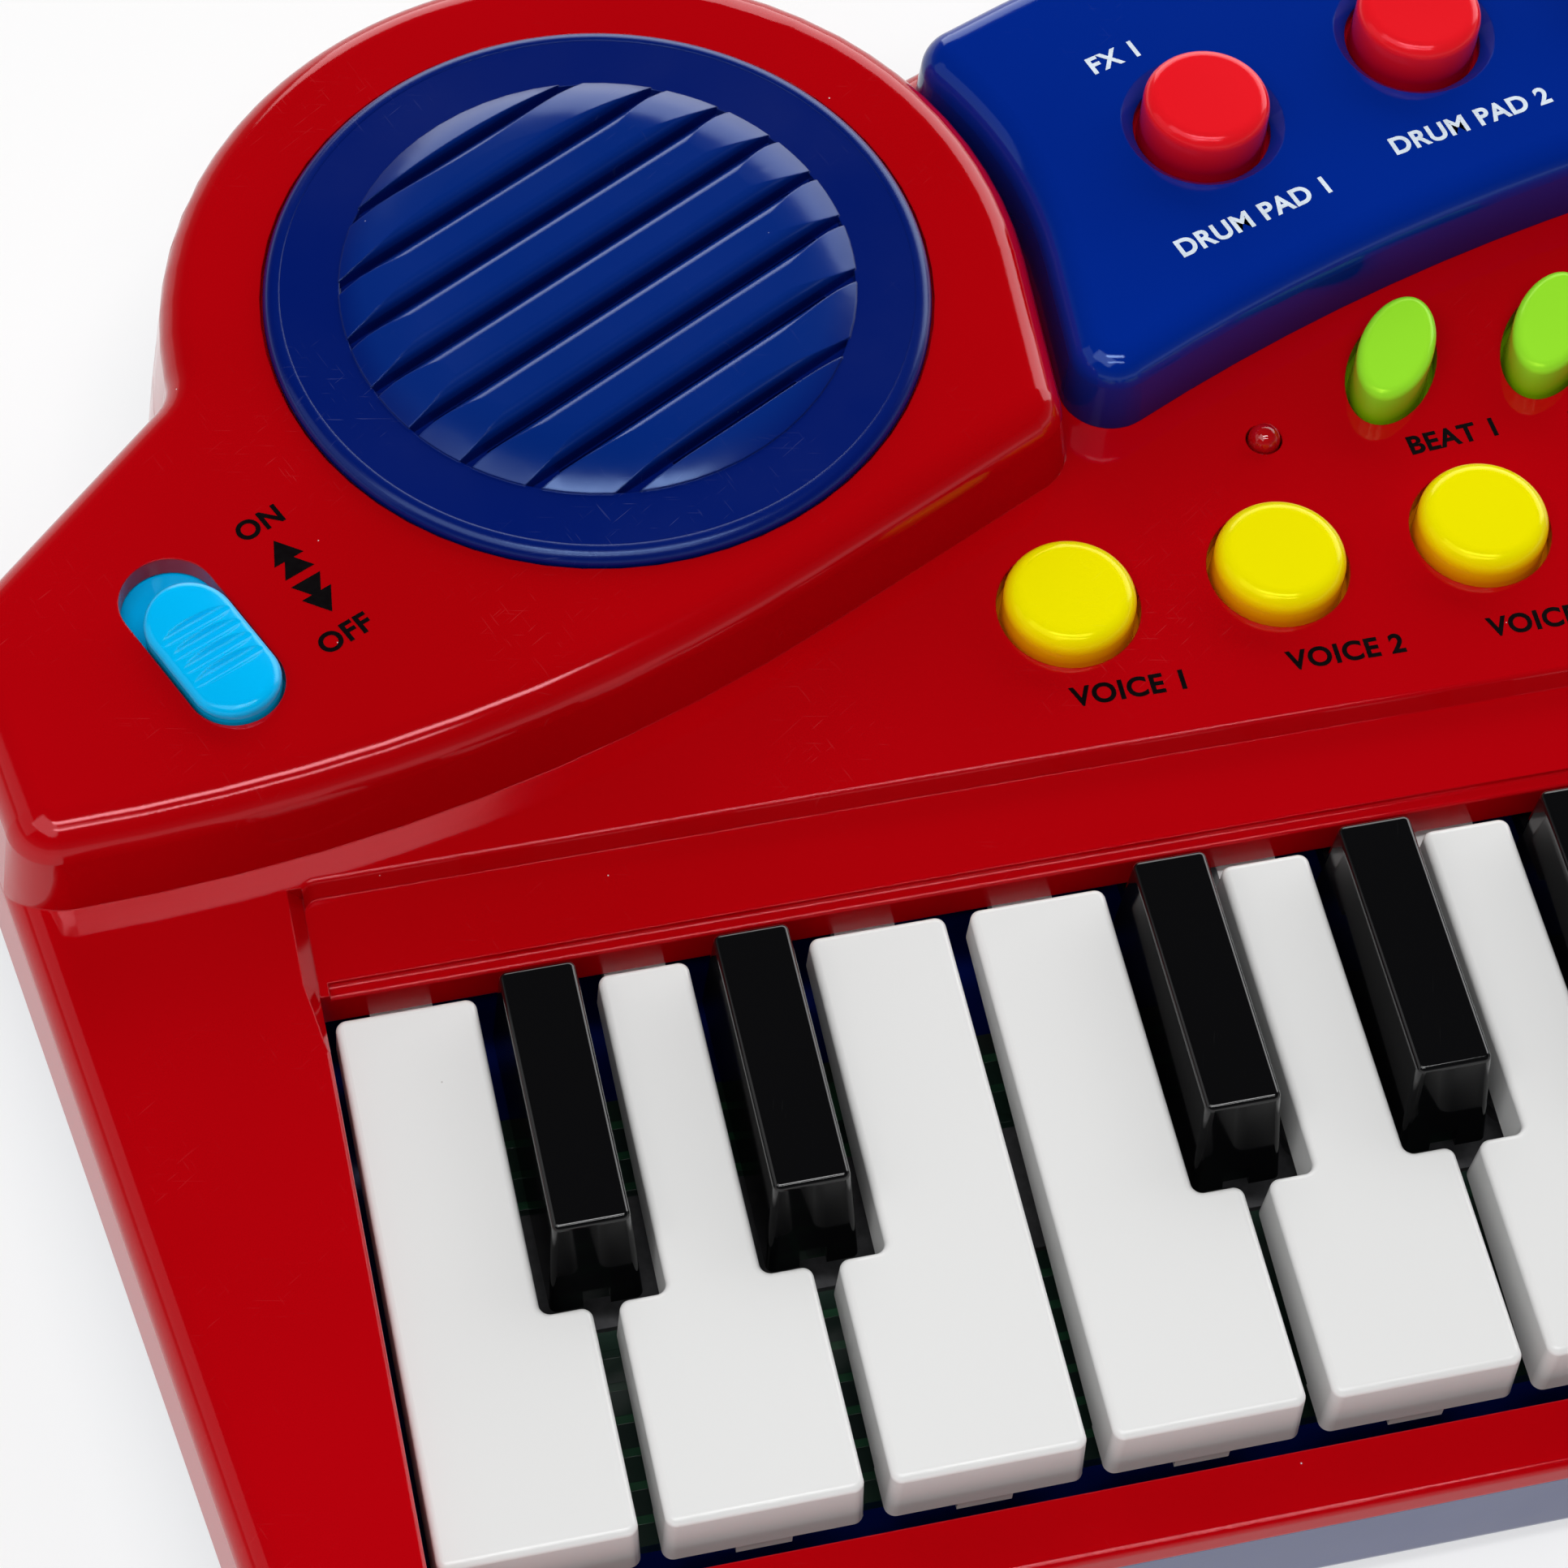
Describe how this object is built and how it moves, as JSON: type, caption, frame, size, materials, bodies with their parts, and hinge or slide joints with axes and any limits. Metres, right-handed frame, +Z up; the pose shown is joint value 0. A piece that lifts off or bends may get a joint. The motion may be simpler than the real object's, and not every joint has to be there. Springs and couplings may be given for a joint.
{
  "type": "toy electronic keyboard",
  "caption": "Small toy electronic keyboard with sprung keys, an arched drum-button panel between two round speaker lobes, coloured push buttons and a sliding power switch.",
  "frame": {"origin": "centre of the footprint's box, on the surface the feet stand on", "axes": "+X to the player's right along the keys, +Y away from the player, +Z up"},
  "size_m": [0.4196, 0.1779, 0.0375],
  "materials": {
    "case_red": "glossy moulded plastic",
    "case_blue": "glossy moulded plastic",
    "drum_blue": "glossy moulded plastic",
    "grille_blue": "glossy moulded plastic",
    "speaker_cone": "dark paper cone",
    "board_green": "lacquered circuit board",
    "contact_rubber": "matt silicone rubber",
    "lamp_red": "clear tinted plastic",
    "battery": "printed sleeve",
    "screw_steel": "zinc plated",
    "key_white": "glossy moulded plastic",
    "key_black": "glossy moulded plastic",
    "button_yellow": "glossy moulded plastic",
    "button_red": "glossy moulded plastic",
    "button_green": "glossy moulded plastic",
    "switch_cyan": "glossy moulded plastic"
  },
  "bodies": {
    "case": {"top_shell": "case_red", "bottom_shell": "case_blue", "drum_panel": "drum_blue", "speaker_grilles": "grille_blue", "speaker_drivers": "speaker_cone", "circuit_boards": "board_green", "contact_mats": "contact_rubber", "power_led": "lamp_red", "battery_door": "case_blue", "batteries": "battery", "case_screws": "screw_steel"},
    "white_key_01": {"white_key_01": "key_white"},
    "white_key_02": {"white_key_02": "key_white"},
    "white_key_03": {"white_key_03": "key_white"},
    "white_key_04": {"white_key_04": "key_white"},
    "white_key_05": {"white_key_05": "key_white"},
    "white_key_06": {"white_key_06": "key_white"},
    "white_key_07": {"white_key_07": "key_white"},
    "white_key_08": {"white_key_08": "key_white"},
    "white_key_09": {"white_key_09": "key_white"},
    "white_key_10": {"white_key_10": "key_white"},
    "white_key_11": {"white_key_11": "key_white"},
    "white_key_12": {"white_key_12": "key_white"},
    "white_key_13": {"white_key_13": "key_white"},
    "white_key_14": {"white_key_14": "key_white"},
    "white_key_15": {"white_key_15": "key_white"},
    "white_key_16": {"white_key_16": "key_white"},
    "white_key_17": {"white_key_17": "key_white"},
    "white_key_18": {"white_key_18": "key_white"},
    "white_key_19": {"white_key_19": "key_white"},
    "black_key_01": {"black_key_01": "key_black"},
    "black_key_02": {"black_key_02": "key_black"},
    "black_key_03": {"black_key_03": "key_black"},
    "black_key_04": {"black_key_04": "key_black"},
    "black_key_05": {"black_key_05": "key_black"},
    "black_key_06": {"black_key_06": "key_black"},
    "black_key_07": {"black_key_07": "key_black"},
    "black_key_08": {"black_key_08": "key_black"},
    "black_key_09": {"black_key_09": "key_black"},
    "black_key_10": {"black_key_10": "key_black"},
    "black_key_11": {"black_key_11": "key_black"},
    "black_key_12": {"black_key_12": "key_black"},
    "black_key_13": {"black_key_13": "key_black"},
    "yellow_button_1": {"yellow_button_1": "button_yellow"},
    "yellow_button_2": {"yellow_button_2": "button_yellow"},
    "yellow_button_3": {"yellow_button_3": "button_yellow"},
    "yellow_button_4": {"yellow_button_4": "button_yellow"},
    "yellow_button_5": {"yellow_button_5": "button_yellow"},
    "yellow_button_6": {"yellow_button_6": "button_yellow"},
    "drum_button_1": {"drum_button_1": "button_red"},
    "drum_button_2": {"drum_button_2": "button_red"},
    "drum_button_3": {"drum_button_3": "button_red"},
    "drum_button_4": {"drum_button_4": "button_red"},
    "drum_button_5": {"drum_button_5": "button_red"},
    "drum_button_6": {"drum_button_6": "button_red"},
    "green_button_1": {"green_button_1": "button_green"},
    "green_button_2": {"green_button_2": "button_green"},
    "green_button_3": {"green_button_3": "button_green"},
    "green_button_4": {"green_button_4": "button_green"},
    "power_switch_knob": {"power_switch_knob": "switch_cyan"}
  },
  "joints": [
    {"name": "white_key_01_press", "type": "hinge", "parent": "case", "child": "white_key_01", "pos_m": [0, -0.01475, 0.015], "axis": [1, 0, 0], "range_deg": [0, 3.1], "stiffness_Nm_per_rad": 0.3, "springref_deg": -3.44},
    {"name": "white_key_02_press", "type": "hinge", "parent": "case", "child": "white_key_02", "pos_m": [0, -0.01475, 0.015], "axis": [1, 0, 0], "range_deg": [0, 3.1], "stiffness_Nm_per_rad": 0.3, "springref_deg": -3.44},
    {"name": "white_key_03_press", "type": "hinge", "parent": "case", "child": "white_key_03", "pos_m": [0, -0.01475, 0.015], "axis": [1, 0, 0], "range_deg": [0, 3.1], "stiffness_Nm_per_rad": 0.3, "springref_deg": -3.44},
    {"name": "white_key_04_press", "type": "hinge", "parent": "case", "child": "white_key_04", "pos_m": [0, -0.01475, 0.015], "axis": [1, 0, 0], "range_deg": [0, 3.1], "stiffness_Nm_per_rad": 0.3, "springref_deg": -3.44},
    {"name": "white_key_05_press", "type": "hinge", "parent": "case", "child": "white_key_05", "pos_m": [0, -0.01475, 0.015], "axis": [1, 0, 0], "range_deg": [0, 3.1], "stiffness_Nm_per_rad": 0.3, "springref_deg": -3.44},
    {"name": "white_key_06_press", "type": "hinge", "parent": "case", "child": "white_key_06", "pos_m": [0, -0.01475, 0.015], "axis": [1, 0, 0], "range_deg": [0, 3.1], "stiffness_Nm_per_rad": 0.3, "springref_deg": -3.44},
    {"name": "white_key_07_press", "type": "hinge", "parent": "case", "child": "white_key_07", "pos_m": [0, -0.01475, 0.015], "axis": [1, 0, 0], "range_deg": [0, 3.1], "stiffness_Nm_per_rad": 0.3, "springref_deg": -3.44},
    {"name": "white_key_08_press", "type": "hinge", "parent": "case", "child": "white_key_08", "pos_m": [0, -0.01475, 0.015], "axis": [1, 0, 0], "range_deg": [0, 3.1], "stiffness_Nm_per_rad": 0.3, "springref_deg": -3.44},
    {"name": "white_key_09_press", "type": "hinge", "parent": "case", "child": "white_key_09", "pos_m": [0, -0.01475, 0.015], "axis": [1, 0, 0], "range_deg": [0, 3.1], "stiffness_Nm_per_rad": 0.3, "springref_deg": -3.44},
    {"name": "white_key_10_press", "type": "hinge", "parent": "case", "child": "white_key_10", "pos_m": [0, -0.01475, 0.015], "axis": [1, 0, 0], "range_deg": [0, 3.1], "stiffness_Nm_per_rad": 0.3, "springref_deg": -3.44},
    {"name": "white_key_11_press", "type": "hinge", "parent": "case", "child": "white_key_11", "pos_m": [0, -0.01475, 0.015], "axis": [1, 0, 0], "range_deg": [0, 3.1], "stiffness_Nm_per_rad": 0.3, "springref_deg": -3.44},
    {"name": "white_key_12_press", "type": "hinge", "parent": "case", "child": "white_key_12", "pos_m": [0, -0.01475, 0.015], "axis": [1, 0, 0], "range_deg": [0, 3.1], "stiffness_Nm_per_rad": 0.3, "springref_deg": -3.44},
    {"name": "white_key_13_press", "type": "hinge", "parent": "case", "child": "white_key_13", "pos_m": [0, -0.01475, 0.015], "axis": [1, 0, 0], "range_deg": [0, 3.1], "stiffness_Nm_per_rad": 0.3, "springref_deg": -3.44},
    {"name": "white_key_14_press", "type": "hinge", "parent": "case", "child": "white_key_14", "pos_m": [0, -0.01475, 0.015], "axis": [1, 0, 0], "range_deg": [0, 3.1], "stiffness_Nm_per_rad": 0.3, "springref_deg": -3.44},
    {"name": "white_key_15_press", "type": "hinge", "parent": "case", "child": "white_key_15", "pos_m": [0, -0.01475, 0.015], "axis": [1, 0, 0], "range_deg": [0, 3.1], "stiffness_Nm_per_rad": 0.3, "springref_deg": -3.44},
    {"name": "white_key_16_press", "type": "hinge", "parent": "case", "child": "white_key_16", "pos_m": [0, -0.01475, 0.015], "axis": [1, 0, 0], "range_deg": [0, 3.1], "stiffness_Nm_per_rad": 0.3, "springref_deg": -3.44},
    {"name": "white_key_17_press", "type": "hinge", "parent": "case", "child": "white_key_17", "pos_m": [0, -0.01475, 0.015], "axis": [1, 0, 0], "range_deg": [0, 3.1], "stiffness_Nm_per_rad": 0.3, "springref_deg": -3.44},
    {"name": "white_key_18_press", "type": "hinge", "parent": "case", "child": "white_key_18", "pos_m": [0, -0.01475, 0.015], "axis": [1, 0, 0], "range_deg": [0, 3.1], "stiffness_Nm_per_rad": 0.3, "springref_deg": -3.44},
    {"name": "white_key_19_press", "type": "hinge", "parent": "case", "child": "white_key_19", "pos_m": [0, -0.01475, 0.015], "axis": [1, 0, 0], "range_deg": [0, 3.1], "stiffness_Nm_per_rad": 0.3, "springref_deg": -3.44},
    {"name": "black_key_01_press", "type": "hinge", "parent": "case", "child": "black_key_01", "pos_m": [0, -0.01475, 0.015], "axis": [1, 0, 0], "range_deg": [0, 3.1], "stiffness_Nm_per_rad": 0.3, "springref_deg": -3.44},
    {"name": "black_key_02_press", "type": "hinge", "parent": "case", "child": "black_key_02", "pos_m": [0, -0.01475, 0.015], "axis": [1, 0, 0], "range_deg": [0, 3.1], "stiffness_Nm_per_rad": 0.3, "springref_deg": -3.44},
    {"name": "black_key_03_press", "type": "hinge", "parent": "case", "child": "black_key_03", "pos_m": [0, -0.01475, 0.015], "axis": [1, 0, 0], "range_deg": [0, 3.1], "stiffness_Nm_per_rad": 0.3, "springref_deg": -3.44},
    {"name": "black_key_04_press", "type": "hinge", "parent": "case", "child": "black_key_04", "pos_m": [0, -0.01475, 0.015], "axis": [1, 0, 0], "range_deg": [0, 3.1], "stiffness_Nm_per_rad": 0.3, "springref_deg": -3.44},
    {"name": "black_key_05_press", "type": "hinge", "parent": "case", "child": "black_key_05", "pos_m": [0, -0.01475, 0.015], "axis": [1, 0, 0], "range_deg": [0, 3.1], "stiffness_Nm_per_rad": 0.3, "springref_deg": -3.44},
    {"name": "black_key_06_press", "type": "hinge", "parent": "case", "child": "black_key_06", "pos_m": [0, -0.01475, 0.015], "axis": [1, 0, 0], "range_deg": [0, 3.1], "stiffness_Nm_per_rad": 0.3, "springref_deg": -3.44},
    {"name": "black_key_07_press", "type": "hinge", "parent": "case", "child": "black_key_07", "pos_m": [0, -0.01475, 0.015], "axis": [1, 0, 0], "range_deg": [0, 3.1], "stiffness_Nm_per_rad": 0.3, "springref_deg": -3.44},
    {"name": "black_key_08_press", "type": "hinge", "parent": "case", "child": "black_key_08", "pos_m": [0, -0.01475, 0.015], "axis": [1, 0, 0], "range_deg": [0, 3.1], "stiffness_Nm_per_rad": 0.3, "springref_deg": -3.44},
    {"name": "black_key_09_press", "type": "hinge", "parent": "case", "child": "black_key_09", "pos_m": [0, -0.01475, 0.015], "axis": [1, 0, 0], "range_deg": [0, 3.1], "stiffness_Nm_per_rad": 0.3, "springref_deg": -3.44},
    {"name": "black_key_10_press", "type": "hinge", "parent": "case", "child": "black_key_10", "pos_m": [0, -0.01475, 0.015], "axis": [1, 0, 0], "range_deg": [0, 3.1], "stiffness_Nm_per_rad": 0.3, "springref_deg": -3.44},
    {"name": "black_key_11_press", "type": "hinge", "parent": "case", "child": "black_key_11", "pos_m": [0, -0.01475, 0.015], "axis": [1, 0, 0], "range_deg": [0, 3.1], "stiffness_Nm_per_rad": 0.3, "springref_deg": -3.44},
    {"name": "black_key_12_press", "type": "hinge", "parent": "case", "child": "black_key_12", "pos_m": [0, -0.01475, 0.015], "axis": [1, 0, 0], "range_deg": [0, 3.1], "stiffness_Nm_per_rad": 0.3, "springref_deg": -3.44},
    {"name": "black_key_13_press", "type": "hinge", "parent": "case", "child": "black_key_13", "pos_m": [0, -0.01475, 0.015], "axis": [1, 0, 0], "range_deg": [0, 3.1], "stiffness_Nm_per_rad": 0.3, "springref_deg": -3.44},
    {"name": "yellow_button_1_press", "type": "slide", "parent": "case", "child": "yellow_button_1", "axis": [0, 0, -1], "range_m": [0, 0.0015], "stiffness_N_per_m": 300, "springref_m": -0.0015},
    {"name": "yellow_button_2_press", "type": "slide", "parent": "case", "child": "yellow_button_2", "axis": [0, 0, -1], "range_m": [0, 0.0015], "stiffness_N_per_m": 300, "springref_m": -0.0015},
    {"name": "yellow_button_3_press", "type": "slide", "parent": "case", "child": "yellow_button_3", "axis": [0, 0, -1], "range_m": [0, 0.0015], "stiffness_N_per_m": 300, "springref_m": -0.0015},
    {"name": "yellow_button_4_press", "type": "slide", "parent": "case", "child": "yellow_button_4", "axis": [0, 0, -1], "range_m": [0, 0.0015], "stiffness_N_per_m": 300, "springref_m": -0.0015},
    {"name": "yellow_button_5_press", "type": "slide", "parent": "case", "child": "yellow_button_5", "axis": [0, 0, -1], "range_m": [0, 0.0015], "stiffness_N_per_m": 300, "springref_m": -0.0015},
    {"name": "yellow_button_6_press", "type": "slide", "parent": "case", "child": "yellow_button_6", "axis": [0, 0, -1], "range_m": [0, 0.0015], "stiffness_N_per_m": 300, "springref_m": -0.0015},
    {"name": "drum_button_1_press", "type": "slide", "parent": "case", "child": "drum_button_1", "axis": [0, 0, -1], "range_m": [0, 0.0015], "stiffness_N_per_m": 300, "springref_m": -0.0015},
    {"name": "drum_button_2_press", "type": "slide", "parent": "case", "child": "drum_button_2", "axis": [0, 0, -1], "range_m": [0, 0.0015], "stiffness_N_per_m": 300, "springref_m": -0.0015},
    {"name": "drum_button_3_press", "type": "slide", "parent": "case", "child": "drum_button_3", "axis": [0, 0, -1], "range_m": [0, 0.0015], "stiffness_N_per_m": 300, "springref_m": -0.0015},
    {"name": "drum_button_4_press", "type": "slide", "parent": "case", "child": "drum_button_4", "axis": [0, 0, -1], "range_m": [0, 0.0015], "stiffness_N_per_m": 300, "springref_m": -0.0015},
    {"name": "drum_button_5_press", "type": "slide", "parent": "case", "child": "drum_button_5", "axis": [0, 0, -1], "range_m": [0, 0.0015], "stiffness_N_per_m": 300, "springref_m": -0.0015},
    {"name": "drum_button_6_press", "type": "slide", "parent": "case", "child": "drum_button_6", "axis": [0, 0, -1], "range_m": [0, 0.0015], "stiffness_N_per_m": 300, "springref_m": -0.0015},
    {"name": "green_button_1_press", "type": "slide", "parent": "case", "child": "green_button_1", "axis": [0, 0, -1], "range_m": [0, 0.0015], "stiffness_N_per_m": 300, "springref_m": -0.0015},
    {"name": "green_button_2_press", "type": "slide", "parent": "case", "child": "green_button_2", "axis": [0, 0, -1], "range_m": [0, 0.0015], "stiffness_N_per_m": 300, "springref_m": -0.0015},
    {"name": "green_button_3_press", "type": "slide", "parent": "case", "child": "green_button_3", "axis": [0, 0, -1], "range_m": [0, 0.0015], "stiffness_N_per_m": 300, "springref_m": -0.0015},
    {"name": "green_button_4_press", "type": "slide", "parent": "case", "child": "green_button_4", "axis": [0, 0, -1], "range_m": [0, 0.0015], "stiffness_N_per_m": 300, "springref_m": -0.0015},
    {"name": "power_switch_slide", "type": "slide", "parent": "case", "child": "power_switch_knob", "axis": [-0.4174, 0.9087, 0], "range_m": [0, 0.0037]}
  ]
}
